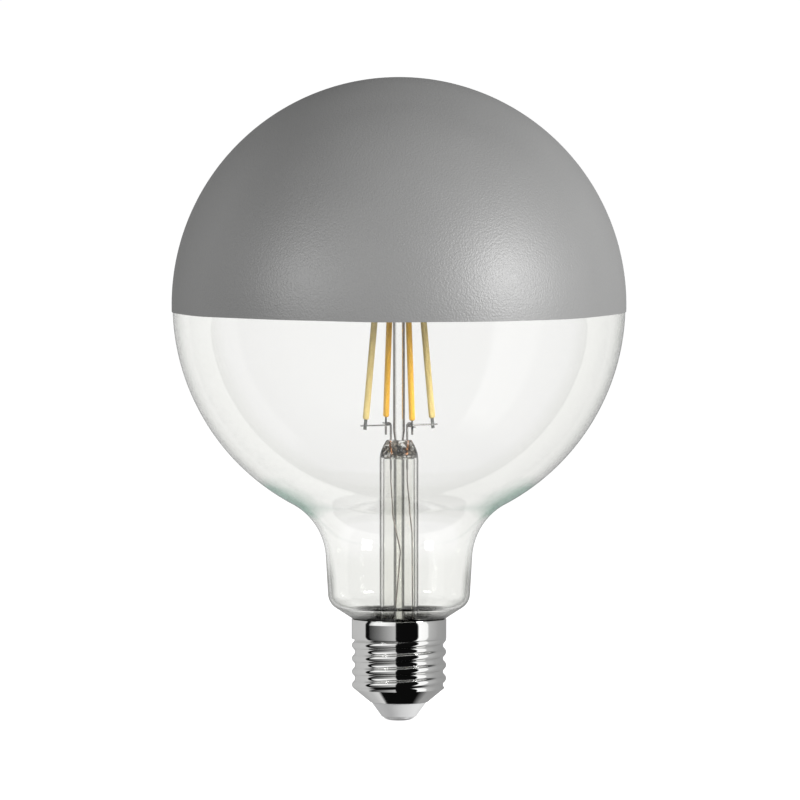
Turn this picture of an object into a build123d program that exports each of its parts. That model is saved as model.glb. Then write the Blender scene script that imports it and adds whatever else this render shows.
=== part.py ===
from build123d import *
import os
from math import asin, ceil, copysign, cos, radians, sin, sqrt, tan

# LED filament globe lamp with a painted crown and a 27 mm screw base, in millimetres.
# The axis of the lamp is Z. z = 0 is the face of the centre contact and the crown is at the top.

# Globe and paint
globe_diameter = 125.0
overall_length = 177.0
glass_wall = 0.8
paint_thickness = 0.2
paint_bond = 0.05
paint_edge_drop = 2.0

# Neck of the globe, down to the seal inside the cap
neck_bottom_radius = 19.4
neck_taper = 3.3
shoulder_share = 0.765
heel_share = 0.2
heel_slope = 33.0
rim_gap = 0.3
neck_insert = 6.7
neck_clearance = 0.1
neck_corner_radius = 1.5

# Screw shell, rolled from sheet
cap_height = 27.9
collar_radius = 13.05
collar_height = 5.5
collar_corner_radius = 0.25
thread_pitch = 25.4 / 7
thread_crest_radius = 13.0
thread_root_radius = 12.15
thread_crest_height = 18.8
thread_valley_flat = 0.3
thread_valley_fill = 0.05
shell_wall = 0.3
shell_lip = 0.05
shell_mouth_radius = 7.9
shell_taper = 39.5

# Insulator and centre contact
insulator_height = 5.0
insulator_top_radius = 7.55
insulator_bottom_radius = 4.7
insulator_flange = 1.6
insulator_edge = 0.4
seat_gap = 0.05
contact_height = 0.95
contact_radius = 4.2
contact_face_radius = 2.2
contact_rim = 0.25
rivet_radius = 1.5
rivet_bore_radius = 1.0
rivet_head_radius = 2.3
rivet_head_thickness = 0.4

# Stem: tube, flare and flattened press
stem_radius = 5.35
stem_wall = 0.8
stem_shoulder_height = 72.2
flare_turn = 75.0
press_height = 5.0
press_root_height = 1.9
press_root_width = 9.9
press_root_depth = 5.4
press_top_width = 6.8
press_top_depth = 3.4
press_cavity_height = 2.6
press_cavity_width = 6.0
press_cavity_depth = 1.4

# Exhaust tube and support rod
exhaust_radius = 1.5
exhaust_wall = 0.4
exhaust_tip_height = 13.0
exhaust_tip_length = 2.5
exhaust_tip_radius = 0.6
rod_radius = 1.65
rod_foot_radius = 1.3
rod_foot_length = 2.6
rod_top_margin = 1.6

# Filaments, on a ring around the rod and leaning in towards it
filament_count = 4
filament_first_azimuth = 21.5
filament_length = 38.0
filament_width = 1.7
filament_thickness = 1.5
filament_corner_radius = 0.6
filament_end_radius = 0.55
filament_foot_rise = 5.8
filament_foot_ring = 9.8
filament_lean = 5.4
tab_width = 0.9
tab_thickness = 0.2
tab_length = 2.8
tab_seat_depth = 1.0

# Wires
lead_radius = 0.3
lead_offset = 2.25
lead_depth = 3.2
outer_lead_radius = 0.18
outer_lead_head = 3.0
outer_lead_foot = 1.5
hook_span = 1.5
hook_fall = 3.2
foot_wire_radius = 0.2
foot_wire_rise = 4.1
foot_wire_base = 1.6
foot_wire_knee_ring = 6.0
head_wire_radius = 0.2
head_wire_rise = 0.7
head_wire_spacing = 0.6
wire_overrun = 0.8
wire_bend_radius = 0.5
wire_gap = 0.02

# Driver inside the shell
board_width = 14.0
board_height = 12.0
board_thickness = 1.0
board_front = 2.6
board_lead_offset = 4.1
chip_gap = 0.02
rectifier_size = (4.7, 4.0, 2.3)
driver_chip_size = (4.9, 3.9, 1.6)
chip_leg_length = 0.9
chip_leg_width = 0.5
chip_leg_thickness = 0.25
chip_edge = 0.3
sense_resistor_size = (2.0, 1.25, 0.5)
sense_resistor_spacing = 3.0
sense_resistor_height = 3.0
chip_spacing = 6.6
chip_height = 8.6
capacitor_radius = 3.0
capacitor_length = 8.5
capacitor_groove_depth = 0.25
capacitor_groove_height = 1.3
capacitor_offset = 5.4
fuse_radius = 1.2
fuse_length = 6.0
fuse_waist_depth = 0.2
fuse_cap_length = 1.4
fuse_clearance = 0.3
fuse_offset = 4.8
fuse_height = 9.4
fuse_lead_rise = 1.2
driver_lead_radius = 0.25
driver_bend_radius = 0.6
contact_lead_height = 8.1
solder_run = 2.0
shell_lead_azimuth = 45.0
shell_lead_offset = 6.1

# Places worked out from the sizes above
globe_radius = globe_diameter / 2
globe_height = overall_length - globe_radius
glass_radius = globe_radius - paint_thickness - paint_bond
paint_edge_height = globe_height - paint_edge_drop
collar_floor_height = cap_height - collar_height
seal_height = cap_height - neck_insert
shell_bore_radius = thread_root_radius - shell_wall - shell_lip
seal_radius = shell_bore_radius - neck_clearance
seal_bore_radius = seal_radius - glass_wall
heel_rim_height = cap_height + rim_gap
heel_height = heel_rim_height + (neck_bottom_radius - collar_radius) * tan(radians(heel_slope))
neck_corner_height = heel_rim_height - (collar_radius - seal_radius) * tan(radians(heel_slope))
neck_length = globe_height - sqrt(glass_radius**2 - neck_bottom_radius**2) - heel_height
shoulder_radius = shoulder_share * neck_length
heel_radius = heel_share * neck_length
press_top_height = stem_shoulder_height + press_height
lead_low_height = stem_shoulder_height - lead_depth
foot_wire_height = press_top_height + foot_wire_rise
filament_foot_height = press_top_height + filament_foot_rise
lean_slope = tan(radians(filament_lean))
filament_head_height = filament_foot_height + filament_length * cos(radians(filament_lean))
head_wire_heights = [filament_head_height + head_wire_rise + i * head_wire_spacing for i in range(2)]
flange_height = insulator_height + insulator_flange
board_back = board_front + board_thickness
board_top_height = flange_height + board_height


def save(piece, name):
    """Label a finished piece and write it as its own file."""
    piece.label = name
    export_step(piece, f"parts/{name}.step")


def taper_radius(height, inset):
    """Radius of the shell's taper at a height, set in from its outer skin."""
    slope = radians(shell_taper)
    return shell_mouth_radius - inset / sin(slope) + (height - insulator_height) / tan(slope)


def taper_height(radius, inset):
    """Height at which the shell's taper has a radius, set in from its outer skin."""
    slope = radians(shell_taper)
    return insulator_height + (radius - shell_mouth_radius + inset / sin(slope)) * tan(slope)


def filament_ring(height):
    """Distance of a filament's centre line from the axis at a height."""
    return filament_foot_ring - (height - filament_foot_height) * lean_slope


def filament_azimuth(number):
    """Direction of a filament around the axis, in radians; halves lie between two filaments."""
    return radians(filament_first_azimuth + number * 360 / filament_count)


def outward(number):
    """Unit vector from the axis towards a filament."""
    return Vector(cos(filament_azimuth(number)), sin(filament_azimuth(number)), 0)


def sideways(number):
    """Unit vector across a filament, level and square to its outward direction."""
    return Vector(-sin(filament_azimuth(number)), cos(filament_azimuth(number)), 0)


def filament_plane(number):
    """Plane across the foot of a filament: X points outwards and Z runs up the filament."""
    along = Vector(0, 0, 1) - outward(number) * lean_slope
    foot = outward(number) * filament_foot_ring + Vector(0, 0, filament_foot_height)
    return Plane(origin=foot, x_dir=sideways(number).cross(along), z_dir=along)


def bent_wire(points, bend_radius, radius):
    """Round wire along straight runs that are joined by bends."""
    with BuildPart() as wire:
        with BuildLine():
            route = FilletPolyline(*points, radius=bend_radius)
        with BuildSketch(Plane(origin=route @ 0, z_dir=route % 0)):
            Circle(radius)
        sweep(path=route)
    return wire.part


def revolved(points):
    """Solid of revolution about the lamp's axis, from the corners of its half section."""
    with BuildPart() as form:
        with BuildSketch(Plane.XZ):
            with BuildLine():
                Polyline(*points, close=True)
            make_face()
        revolve(axis=Axis.Z)
    return form.part


def threaded_rod(inset):
    """Rod with the shell's round thread on it, set in from the shell's outer skin.

    Crests and valleys are equal arcs that meet on the flanks. A valley is round down to a narrow flat.
    """
    depth = thread_crest_radius - thread_root_radius
    rounding = (depth**2 + (thread_pitch / 2) ** 2) / (4 * depth)
    flank = asin(thread_pitch / 4 / rounding)
    crest_rounding = rounding - inset
    valley_rounding = rounding + inset
    valley_radius = thread_root_radius - inset
    half_width = (thread_pitch - thread_valley_flat) / 2
    join_radius = thread_crest_radius - rounding + crest_rounding * cos(flank)
    join_reach = crest_rounding * sin(flank)
    edge_radius = thread_root_radius + rounding - sqrt(valley_rounding**2 - (thread_valley_flat / 2) ** 2)
    foot_radius = valley_radius - shell_wall
    turns_below = ceil((thread_crest_height - thread_low_height) / thread_pitch) + 1
    start_height = thread_crest_height - turns_below * thread_pitch
    reach = collar_floor_height + thread_pitch - start_height
    with BuildPart() as rod:
        with BuildLine():
            turns = Helix(thread_pitch, reach, thread_crest_radius, center=(0, 0, start_height))
        with BuildSketch(Plane.XZ.shift_origin((0, 0, start_height))):
            with BuildLine():
                RadiusArc((join_radius, -join_reach), (join_radius, join_reach), -crest_rounding)
                upper = RadiusArc((join_radius, join_reach), (edge_radius, half_width), valley_rounding)
                lower = RadiusArc((edge_radius, -half_width), (join_radius, -join_reach), valley_rounding)
                Polyline(upper @ 1, (foot_radius, half_width), (foot_radius, -half_width), lower @ 0)
            make_face()
        sweep(path=turns, is_frenet=True)
        with BuildSketch(Plane.XY.offset(start_height - thread_pitch)):
            Circle(valley_radius + thread_valley_fill)
        extrude(amount=reach + 2 * thread_pitch)
    return rod.part


os.makedirs("parts", exist_ok=True)

# Glass envelope: globe, shoulder and neck blown in one piece, open at the seal
with BuildPart() as glass_envelope:
    with BuildSketch(Plane.XZ) as envelope_section:
        with Locations((0, globe_height)):
            Circle(glass_radius)
        neck_spread = (globe_height - heel_height) * tan(radians(neck_taper))
        neck_end_height = seal_height - 2 * glass_wall
        with BuildLine():
            half_neck = Polyline(
                (0, neck_end_height),
                (seal_radius, neck_end_height),
                (seal_radius, neck_corner_height),
                (neck_bottom_radius, heel_height),
                (neck_bottom_radius + neck_spread, globe_height),
                (0, globe_height),
            )
            mirror(half_neck, about=Plane.YZ)
        make_face()
        shoulders = envelope_section.vertices().filter_by_position(
            Axis.Y, heel_height + heel_radius, globe_height
        )
        fillet(shoulders, shoulder_radius)
        heels = envelope_section.vertices().sort_by_distance((neck_bottom_radius, heel_height))
        fillet(heels[0], heel_radius)
        heels = envelope_section.vertices().sort_by_distance((-neck_bottom_radius, heel_height))
        fillet(heels[0], heel_radius)
        throats = envelope_section.vertices().sort_by_distance((seal_radius, neck_corner_height))
        fillet(throats[0], neck_corner_radius)
        throats = envelope_section.vertices().sort_by_distance((-seal_radius, neck_corner_height))
        fillet(throats[0], neck_corner_radius)
        offset(amount=-glass_wall, mode=Mode.SUBTRACT)
        with Locations((0, seal_height)):
            Rectangle(globe_radius, overall_length, align=(Align.MIN, Align.MIN), mode=Mode.INTERSECT)
    revolve(axis=Axis.Z)
save(glass_envelope.part, "glass_envelope")

# Crown paint: a thin coat on the outside of the upper half
with BuildPart() as crown_paint:
    with BuildSketch(Plane.XZ):
        with Locations((0, globe_height)):
            Circle(globe_radius)
            Circle(glass_radius + paint_bond, mode=Mode.SUBTRACT)
        with Locations((0, paint_edge_height)):
            Rectangle(globe_radius, globe_diameter, align=(Align.MIN, Align.MIN), mode=Mode.INTERSECT)
    revolve(axis=Axis.Z)
save(crown_paint.part, "crown_paint")

# Stem: tube with a flare that meets the neck at the seal, and a flattened press with a wedge-shaped cavity
stem_bore_radius = stem_radius - stem_wall
stem_middle_radius = stem_radius - stem_wall / 2
flare_rim_radius = seal_bore_radius - seat_gap - stem_wall / 2 * cos(radians(flare_turn))
flare_bend_radius = (flare_rim_radius - stem_middle_radius) / (1 - cos(radians(flare_turn)))
flare_height = seal_height + stem_wall / 2 + flare_bend_radius * sin(radians(flare_turn))
with BuildPart() as stem:
    with BuildSketch(Plane.XZ):
        with BuildLine():
            tube = Line((stem_middle_radius, stem_shoulder_height), (stem_middle_radius, flare_height))
            JernArc(start=tube @ 1, tangent=tube % 1, radius=flare_bend_radius, arc_size=flare_turn)
        trace(line_width=stem_wall)
    revolve(axis=Axis.Z)
    with BuildSketch(Plane.XY.offset(stem_shoulder_height)):
        Ellipse(stem_radius, stem_radius)
    with BuildSketch(Plane.XY.offset(stem_shoulder_height + press_root_height)):
        Ellipse(press_root_width / 2, press_root_depth / 2)
    with BuildSketch(Plane.XY.offset(press_top_height)):
        Ellipse(press_top_width / 2, press_top_depth / 2)
    loft()
    with BuildSketch(Plane.XY.offset(stem_shoulder_height)):
        Ellipse(stem_bore_radius, stem_bore_radius)
    with BuildSketch(Plane.XY.offset(stem_shoulder_height + press_cavity_height)):
        Ellipse(press_cavity_width / 2, press_cavity_depth / 2)
    loft(ruled=True, mode=Mode.SUBTRACT)
    with BuildSketch(Plane.XY.offset(stem_shoulder_height)):
        with Locations((-lead_offset, 0), (lead_offset, 0)):
            Circle(lead_radius + wire_gap)
    extrude(amount=press_height, mode=Mode.SUBTRACT)
save(stem.part, "stem")

# Exhaust tube: fused in the wedge of the press, drawn out to a closed tip below
wedge_slope = press_cavity_height / (stem_bore_radius - press_cavity_depth / 2)
exhaust_top_height = stem_shoulder_height + (stem_bore_radius - exhaust_radius - seat_gap) * wedge_slope
with BuildPart() as exhaust_tube:
    with BuildSketch(Plane.XZ):
        with BuildLine():
            Polyline(
                (0, exhaust_tip_height),
                (exhaust_tip_radius, exhaust_tip_height),
                (exhaust_radius, exhaust_tip_height + exhaust_tip_length),
                (exhaust_radius, exhaust_top_height),
                (exhaust_radius - exhaust_wall, exhaust_top_height),
                (exhaust_radius - exhaust_wall, exhaust_tip_height + exhaust_tip_length),
                (0, exhaust_tip_height + exhaust_tip_length / 2),
                close=True,
            )
        make_face()
    revolve(axis=Axis.Z)
save(exhaust_tube.part, "exhaust_tube")

# Support rod: stands on the press, round at the top, with cross holes for the head wires
rod_top_height = head_wire_heights[-1] + rod_top_margin
head_wire_shift = tab_thickness / 2 + head_wire_radius + wire_gap
with BuildPart() as support_rod:
    with BuildSketch(Plane.XZ):
        with BuildLine():
            rod_side = Polyline(
                (0, press_top_height),
                (rod_foot_radius, press_top_height),
                (rod_radius, press_top_height + rod_foot_length),
                (rod_radius, rod_top_height - rod_radius),
            )
            TangentArc(rod_side @ 1, (0, rod_top_height), tangent=(0, 1))
            Line((0, rod_top_height), (0, press_top_height))
        make_face()
    revolve(axis=Axis.Z)
    for i, height in enumerate(head_wire_heights):
        middle = sideways(i) * head_wire_shift + Vector(0, 0, height)
        with BuildSketch(Plane(origin=middle, z_dir=outward(i))):
            Circle(head_wire_radius + wire_gap)
        extrude(amount=rod_radius, both=True, mode=Mode.SUBTRACT)
save(support_rod.part, "support_rod")

# Head wires: each runs straight through the rod, from a filament's head tab to the one across from it
for i, height in enumerate(head_wire_heights):
    reach = filament_ring(height) + tab_width / 2 + wire_overrun
    middle = sideways(i) * head_wire_shift + Vector(0, 0, height)
    with BuildPart() as head_wire:
        with BuildSketch(Plane(origin=middle, z_dir=outward(i))):
            Circle(head_wire_radius)
        extrude(amount=reach, both=True)
    save(head_wire.part, f"head_wire_{i + 1}")

# Filaments with their metal tabs, seated in slots in the ends of the coated strips
for i in range(filament_count):
    foot_plane = filament_plane(i)
    with BuildPart() as filament:
        with BuildSketch(foot_plane):
            RectangleRounded(filament_width, filament_thickness, filament_corner_radius)
        extrude(amount=filament_length)
        ends = filament.faces().sort_by(Axis.Z)
        fillet(ends[0].edges() + ends[-1].edges(), filament_end_radius)
        for level in (0, filament_length - tab_seat_depth - wire_gap):
            with BuildSketch(foot_plane.offset(level)):
                Rectangle(tab_width + 2 * wire_gap, tab_thickness + 2 * wire_gap)
            extrude(amount=tab_seat_depth + wire_gap, mode=Mode.SUBTRACT)
    save(filament.part, f"filament_{i + 1}")
    for end, level in (("foot", -tab_length), ("head", filament_length - tab_seat_depth)):
        with BuildPart() as tab:
            with BuildSketch(foot_plane.offset(level)):
                Rectangle(tab_width, tab_thickness)
            extrude(amount=tab_length + tab_seat_depth)
        save(tab.part, f"{end}_tab_{i + 1}")

# Lead wires through the press, each with a hook that holds a foot wire, and the thin outer leads below them
hook_height = foot_wire_height + foot_wire_radius + lead_radius + wire_gap
foot_wire_shift = tab_thickness / 2 + foot_wire_radius + wire_gap
foot_wire_end_ring = filament_ring(foot_wire_height) + tab_width / 2 + wire_overrun
board_lead_front = board_front - outer_lead_radius - wire_gap


def lead_level(share):
    """Height in the stem, as a share of the way from the board up to the lead wires."""
    return board_top_height + share * (lead_low_height - board_top_height)


outer_lead_routes = {
    "right": [(3.6, 0.0, 0.66), (3.75, 0.0, 0.3)],
    "left": [(-1.6, -2.0, 0.76), (0.4, -2.5, 0.56), (-0.9, -2.5, 0.25)],
}
for side, sign, between in (("right", 1, 3.5), ("left", -1, 1.5)):
    foot = Vector(sign * lead_offset, 0, 0)
    hook_out = outward(between) * hook_span
    lead = bent_wire(
        [
            foot + Vector(0, 0, lead_low_height),
            foot + Vector(0, 0, hook_height),
            foot + hook_out + Vector(0, 0, hook_height),
            foot + hook_out + Vector(0, 0, hook_height - hook_fall),
        ],
        hook_span / 2 - wire_gap,
        lead_radius,
    )
    save(lead, f"lead_wire_{side}")

    arms = []
    for number in (between - 0.5, between + 0.5):
        shift = sideways(number) * copysign(foot_wire_shift, sideways(number).dot(foot))
        half_base = sideways(between) * copysign(foot_wire_base / 2, number - between)
        arms.append(
            [
                outward(number) * foot_wire_end_ring + shift,
                outward(number) * foot_wire_knee_ring + shift,
                foot + hook_out / 2 + half_base,
            ]
        )
    level = Vector(0, 0, foot_wire_height)
    corners = [point + level for point in arms[0] + arms[1][::-1]]
    save(bent_wire(corners, wire_bend_radius, foot_wire_radius), f"foot_wire_{side}")

    route = [(x, y, lead_level(share)) for x, y, share in outer_lead_routes[side]]
    outer_lead = bent_wire(
        [
            (foot.X, 0, lead_low_height),
            (foot.X, 0, lead_low_height - outer_lead_head),
            *route,
            (sign * board_lead_offset, board_lead_front, board_top_height + outer_lead_foot),
            (sign * board_lead_offset, board_lead_front, board_top_height - solder_run),
        ],
        wire_bend_radius,
        outer_lead_radius,
    )
    save(outer_lead, f"outer_lead_{side}")

# Screw shell: sheet rolled to a taper, a round thread and a collar with a floor
thread_low_height = taper_height(thread_root_radius, 0)
core_low_height = insulator_height + shell_wall
core_top_height = collar_floor_height - shell_lip
core_inset = shell_wall + shell_lip
collar_bore_radius = collar_radius - shell_wall
shelf_height = collar_floor_height + shell_wall
with BuildPart() as screw_shell:
    add(threaded_rod(0))
    taper_outline = [
        (0, insulator_height),
        (shell_mouth_radius, insulator_height),
        (collar_radius, taper_height(collar_radius, 0)),
        (collar_radius, collar_floor_height + shell_wall / 2),
        (0, collar_floor_height + shell_wall / 2),
    ]
    add(revolved(taper_outline), mode=Mode.INTERSECT)
    with BuildSketch(Plane.XZ) as collar_section:
        with Locations((0, collar_floor_height)):
            Rectangle(collar_radius, collar_height, align=(Align.MIN, Align.MIN))
        fillet(collar_section.vertices().group_by(Axis.Y)[0].sort_by(Axis.X)[-1], collar_corner_radius)
    revolve(axis=Axis.Z)
    bore_outline = [
        (0, insulator_height),
        (taper_radius(insulator_height, shell_wall), insulator_height),
        (shell_bore_radius, taper_height(shell_bore_radius, shell_wall)),
        (shell_bore_radius, shelf_height),
        (collar_bore_radius, shelf_height),
        (collar_bore_radius, cap_height),
        (0, cap_height),
    ]
    add(revolved(bore_outline), mode=Mode.SUBTRACT)
with BuildPart() as thread_core:
    add(threaded_rod(shell_wall))
    core_outline = [
        (0, core_low_height),
        (taper_radius(core_low_height, core_inset), core_low_height),
        (collar_radius, taper_height(collar_radius, core_inset)),
        (collar_radius, core_top_height),
        (0, core_top_height),
    ]
    add(revolved(core_outline), mode=Mode.INTERSECT)
with screw_shell:
    add(thread_core.part, mode=Mode.SUBTRACT)
save(screw_shell.part, "screw_shell")

# Insulator: white cone below the shell, with a flange that lines the taper inside
cone_top_height = insulator_height - seat_gap
lining_inset = shell_wall + seat_gap
with BuildPart() as insulator:
    with BuildSketch(Plane.XZ) as insulator_section:
        with BuildLine():
            Polyline(
                (rivet_radius + seat_gap, contact_height),
                (insulator_bottom_radius, contact_height),
                (insulator_top_radius, cone_top_height),
                (taper_radius(cone_top_height, lining_inset), cone_top_height),
                (taper_radius(flange_height, lining_inset), flange_height),
                (rivet_radius + seat_gap, flange_height),
                close=True,
            )
        make_face()
        fillet(insulator_section.vertices().group_by(Axis.Y)[0].sort_by(Axis.X)[-1], insulator_edge)
    revolve(axis=Axis.Z)
save(insulator.part, "insulator")

# Centre contact: domed disc on a hollow rivet that is rolled over on the insulator's flange
rivet_top_height = flange_height + rivet_head_thickness
with BuildPart() as centre_contact:
    with BuildSketch(Plane.XZ):
        with BuildLine():
            face = Line((0, 0), (contact_face_radius, 0))
            dome = TangentArc(face @ 1, (contact_radius, contact_height - contact_rim), tangent=face % 1)
            Polyline(
                dome @ 1,
                (contact_radius, contact_height),
                (rivet_radius, contact_height),
                (rivet_radius, flange_height),
                (rivet_head_radius, flange_height),
                (rivet_head_radius, rivet_top_height),
                (rivet_bore_radius, rivet_top_height),
                (rivet_bore_radius, contact_height),
                (0, contact_height),
                (0, 0),
            )
        make_face()
    revolve(axis=Axis.Z)
save(centre_contact.part, "centre_contact")

# Basing cement: ring between the neck of the glass and the collar, resting on the collar's floor
with BuildPart() as basing_cement:
    cement_floor = collar_floor_height + shell_wall + seat_gap
    cement_top = neck_corner_height - neck_corner_radius
    with BuildSketch(Plane.XY.offset(cement_floor)):
        Circle(collar_radius - shell_wall - seat_gap)
        Circle(seal_radius + seat_gap, mode=Mode.SUBTRACT)
    extrude(amount=cement_top - cement_floor)
save(basing_cement.part, "basing_cement")

# Driver board: stands on the insulator's flange
with BuildPart() as driver_board:
    with BuildSketch(Plane.XY.offset(flange_height)):
        with Locations((0, board_front + board_thickness / 2)):
            Rectangle(board_width, board_thickness)
    extrude(amount=board_height)
save(driver_board.part, "driver_board")


def board_plane(x, height):
    """Plane on the back of the board, facing away from it."""
    return Plane(origin=(x, board_back + chip_gap, height), x_dir=(1, 0, 0), z_dir=(0, 1, 0))


# Chips on the back of the board: moulded bodies with two legs above and two below
chip_level = flange_height + chip_height
for name, size, x in (
    ("bridge_rectifier", rectifier_size, -chip_spacing / 2),
    ("driver_chip", driver_chip_size, chip_spacing / 2),
):
    width, height, depth = size
    with BuildPart() as chip:
        with BuildSketch(board_plane(x, chip_level)):
            Rectangle(width, height)
        extrude(amount=depth)
        chamfer(chip.faces().sort_by(Axis.Y)[-1].edges(), chip_edge)
        with BuildSketch(board_plane(x, chip_level)):
            with GridLocations(width / 2, height + chip_leg_length, 2, 2):
                Rectangle(chip_leg_width, chip_leg_length)
        extrude(amount=chip_leg_thickness)
    save(chip.part, name)

# Chip resistors on the back of the board
for i, x in enumerate((-sense_resistor_spacing / 2, sense_resistor_spacing / 2)):
    width, height, depth = sense_resistor_size
    with BuildPart() as sense_resistor:
        with BuildSketch(board_plane(x, flange_height + sense_resistor_height)):
            Rectangle(width, height)
        extrude(amount=depth)
    save(sense_resistor.part, f"sense_resistor_{i + 1}")

# Smoothing capacitor: rolled can that stands on the flange, against the front of the board
capacitor_front = board_front - capacitor_radius - chip_gap
with BuildPart() as smoothing_capacitor:
    with BuildSketch(Plane((-capacitor_offset, capacitor_front, flange_height), (1, 0, 0), (0, -1, 0))):
        Rectangle(capacitor_radius, capacitor_length, align=(Align.MIN, Align.MIN))
        with Locations((capacitor_radius, capacitor_groove_height)):
            Circle(capacitor_groove_depth, mode=Mode.SUBTRACT)
    revolve(axis=Axis((-capacitor_offset, capacitor_front, 0), (0, 0, 1)))
    fillet(smoothing_capacitor.edges().group_by(Axis.Z)[-1], capacitor_groove_depth)
save(smoothing_capacitor.part, "smoothing_capacitor")

# Fuse resistor: capped body between the board and the centre contact, with a lead at each end
fuse_front = board_front - fuse_radius - fuse_clearance
fuse_top = fuse_height + fuse_length
with BuildPart() as fuse_resistor:
    with BuildSketch(Plane((fuse_offset, fuse_front, fuse_height), (1, 0, 0), (0, -1, 0))):
        Rectangle(fuse_radius, fuse_length, align=(Align.MIN, Align.MIN))
        with Locations((fuse_radius, fuse_length / 2)):
            Rectangle(2 * fuse_waist_depth, fuse_length - 2 * fuse_cap_length, mode=Mode.SUBTRACT)
    revolve(axis=Axis((fuse_offset, fuse_front, 0), (0, 0, 1)))
save(fuse_resistor.part, "fuse_resistor")

board_lead = bent_wire(
    [
        (fuse_offset, fuse_front, fuse_top),
        (fuse_offset, fuse_front, fuse_top + fuse_lead_rise),
        (fuse_offset, board_front - wire_gap, fuse_top + fuse_lead_rise),
    ],
    driver_bend_radius,
    driver_lead_radius,
)
save(board_lead, "fuse_board_lead")

contact_lead = bent_wire(
    [
        (fuse_offset, fuse_front, fuse_height),
        (fuse_offset, fuse_front, contact_lead_height),
        (0, 0, contact_lead_height),
        (0, 0, contact_height + driver_lead_radius),
    ],
    driver_bend_radius,
    driver_lead_radius,
)
save(contact_lead, "contact_lead")

# Shell lead: from the back of the board to the inside of the shell, along which it is soldered
shell_contact_ring = shell_bore_radius - driver_lead_radius - wire_gap
shell_side = Vector(shell_contact_ring, 0, 0).rotate(Axis.Z, shell_lead_azimuth)
board_side = Vector(shell_lead_offset, board_back + driver_lead_radius + wire_gap, 0)
shell_lead = bent_wire(
    [
        board_side + Vector(0, 0, flange_height + solder_run),
        board_side + Vector(0, 0, flange_height + 2 * solder_run),
        shell_side + Vector(0, 0, flange_height + 3 * solder_run),
        shell_side + Vector(0, 0, flange_height + 4 * solder_run),
    ],
    driver_bend_radius,
    driver_lead_radius,
)
save(shell_lead, "shell_lead")
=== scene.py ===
from math import asin, atan2, cos, degrees, pi, radians, sin, sqrt, tan

import bmesh
import bpy
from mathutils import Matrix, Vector


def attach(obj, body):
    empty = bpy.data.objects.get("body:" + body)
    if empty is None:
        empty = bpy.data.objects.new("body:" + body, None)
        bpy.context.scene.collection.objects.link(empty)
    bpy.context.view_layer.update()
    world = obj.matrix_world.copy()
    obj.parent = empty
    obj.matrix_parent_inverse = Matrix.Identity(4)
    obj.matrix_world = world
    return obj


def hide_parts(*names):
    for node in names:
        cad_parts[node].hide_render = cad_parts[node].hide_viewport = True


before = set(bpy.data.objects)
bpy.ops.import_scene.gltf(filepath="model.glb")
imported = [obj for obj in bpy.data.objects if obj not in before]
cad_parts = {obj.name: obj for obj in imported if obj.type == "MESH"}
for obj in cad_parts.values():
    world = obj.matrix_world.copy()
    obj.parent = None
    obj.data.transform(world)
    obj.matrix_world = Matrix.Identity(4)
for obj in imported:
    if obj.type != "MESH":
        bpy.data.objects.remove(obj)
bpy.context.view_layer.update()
scene = bpy.context.scene

# Sizes of the lamp in millimetres and degrees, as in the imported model
MM = 0.001
GLOBE_RADIUS = 62.5
GLOBE_HEIGHT = 114.5
GLASS_RADIUS = 62.25
GLASS_WALL = 0.8
PAINT_INNER_RADIUS = 62.3
PAINT_EDGE_HEIGHT = 112.5
NECK_CORNER = Vector((19.4, 32.324))
NECK_TAPER = 3.3
SHOULDER_RADIUS = 17.615
HEEL_RADIUS = 4.605
HEEL_SLOPE = 33.0
THROAT_CORNER = Vector((11.7, 27.323))
THROAT_RADIUS = 1.5
SEAL_HEIGHT = 21.2
CAP_HEIGHT = 27.9
COLLAR_RADIUS = 13.05
COLLAR_FLOOR = 22.4
COLLAR_CORNER = 0.25
THREAD_PITCH = 25.4 / 7
CREST_RADIUS = 13.0
ROOT_RADIUS = 12.15
CREST_HEIGHT = 18.8
SHELL_WALL = 0.3
SHELL_BOTTOM = 5.0
MOUTH_RADIUS = 7.9
SHELL_TAPER = 39.5
INSULATOR_TOP_RADIUS = 7.55
INSULATOR_BOTTOM_RADIUS = 4.7
INSULATOR_FLANGE = 1.6
INSULATOR_EDGE = 0.4
SEAT_GAP = 0.05
CONTACT_HEIGHT = 0.95
CONTACT_RADIUS = 4.2
CONTACT_FACE_RADIUS = 2.2
CONTACT_RIM = 0.25
RIVET_RADIUS = 1.5
RIVET_BORE = 1.0
RIVET_HEAD_RADIUS = 2.3
RIVET_HEAD_THICKNESS = 0.4
STEM_RADIUS = 5.35
STEM_WALL = 0.8
STEM_SHOULDER = 72.2
FLARE_TURN = 75.0
FLARE_BEND = 7.82
FLARE_HEIGHT = 29.15
PRESS_SECTIONS = ((0.0, 5.35, 5.35), (1.9, 4.95, 2.7), (5.0, 3.4, 1.7))
CAVITY_SECTION = (2.6, 3.0, 0.7)
EXHAUST_RADIUS = 1.5
EXHAUST_BORE = 1.1
EXHAUST_TOP = 74.226
EXHAUST_TIP = 13.0
EXHAUST_TIP_LENGTH = 2.5
EXHAUST_TIP_RADIUS = 0.6
ROD_RADIUS = 1.65
ROD_FOOT_RADIUS = 1.3
ROD_FOOT_LENGTH = 2.6
ROD_TOP = 123.731
FILAMENT_LENGTH = 38.0
FILAMENT_HALF = (0.85, 0.75)
FILAMENT_CORNER = 0.6
FILAMENT_END = 0.55
FILAMENT_FOOT = 83.0
FILAMENT_RING = 9.8
FILAMENT_LEAN = 5.4
FILAMENT_AZIMUTH = 21.5
FILAMENT_COUNT = 4

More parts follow.
